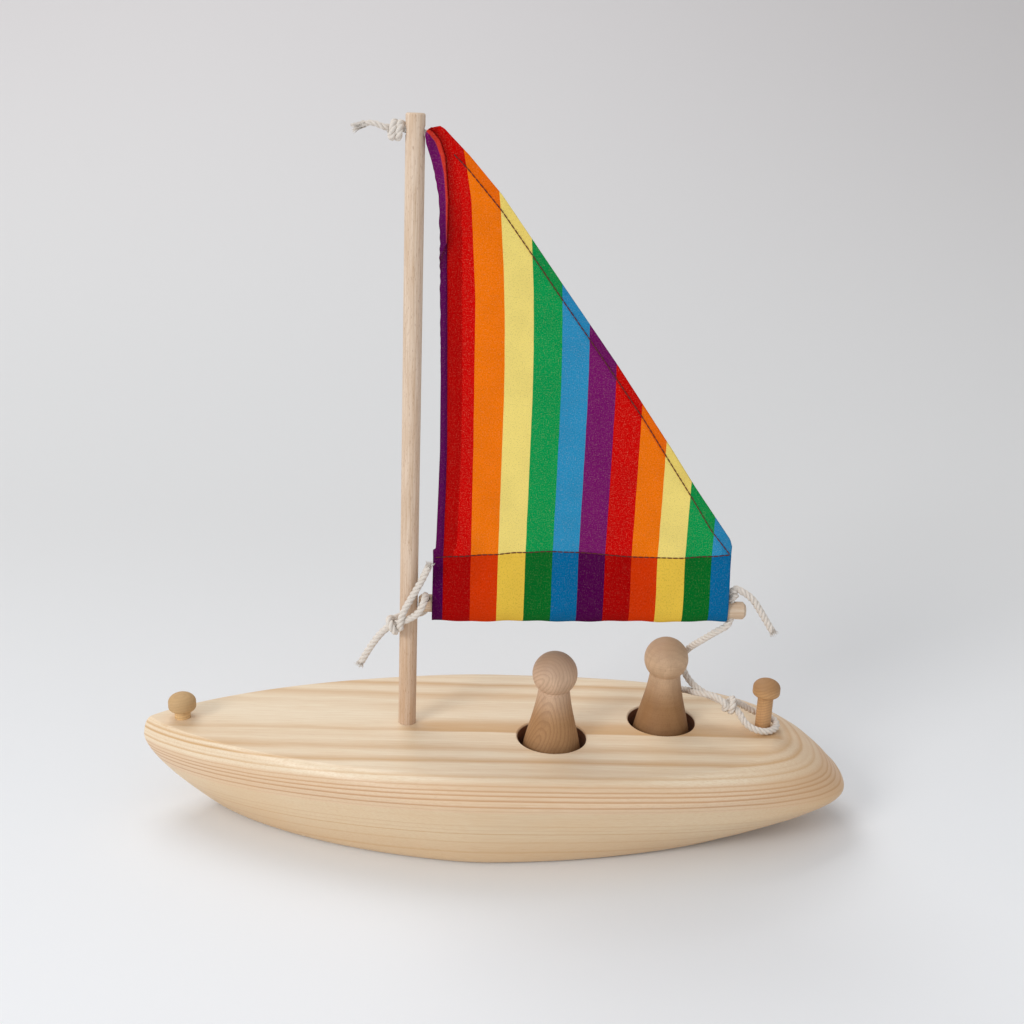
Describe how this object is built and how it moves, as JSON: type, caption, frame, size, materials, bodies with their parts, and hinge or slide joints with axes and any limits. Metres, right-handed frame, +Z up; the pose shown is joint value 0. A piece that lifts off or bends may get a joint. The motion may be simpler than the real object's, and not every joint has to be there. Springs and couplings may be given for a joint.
{
  "type": "toy sailing boat",
  "caption": "Wooden toy sailing boat with a rainbow-striped cloth sail on a swinging boom, cotton ropes, two pegs and two lift-out peg figures.",
  "frame": {"origin": "centre of the hull's flat underside", "axes": "+X towards the stern, -Y to port, +Z up"},
  "size_m": [0.3278, 0.119, 0.3166],
  "materials": {
    "hull_pine": "satin",
    "dowel": "matte",
    "peg_beech": "satin",
    "figure_wood": "matte",
    "sail_cloth": "matte",
    "rope_cotton": "matte"
  },
  "bodies": {
    "hull": {"hull": "hull_pine", "mast": "dowel", "bow_peg": "peg_beech", "stern_peg": "peg_beech", "halyard_throat": "rope_cotton", "halyard_knot": "rope_cotton", "halyard_tail": "rope_cotton", "sheet_run": "rope_cotton", "sheet_knot": "rope_cotton", "sheet_loop": "rope_cotton", "sheet_short_tail": "rope_cotton"},
    "boom": {"boom": "dowel", "sail": "sail_cloth", "tie_ring": "rope_cotton", "tie_knot": "rope_cotton", "tie_tail_upper": "rope_cotton", "tie_tail_lower": "rope_cotton", "sheet_stopper": "rope_cotton", "sheet_tail": "rope_cotton"},
    "figure_front": {"figure_front": "figure_wood"},
    "figure_rear": {"figure_rear": "figure_wood"}
  },
  "joints": [
    {"name": "boom_swing", "type": "hinge", "parent": "hull", "child": "boom", "pos_m": [-0.0425, 0, 0.1051], "axis": [0, 0, 1], "range_deg": [-28, 28], "deforming": ["sheet_run"]},
    {"name": "figure_front_lift", "type": "slide", "parent": "hull", "child": "figure_front", "axis": [0, 0, 1], "range_m": [0, 0.014]},
    {"name": "figure_rear_lift", "type": "slide", "parent": "hull", "child": "figure_rear", "axis": [0, 0, 1], "range_m": [0, 0.014]}
  ]
}
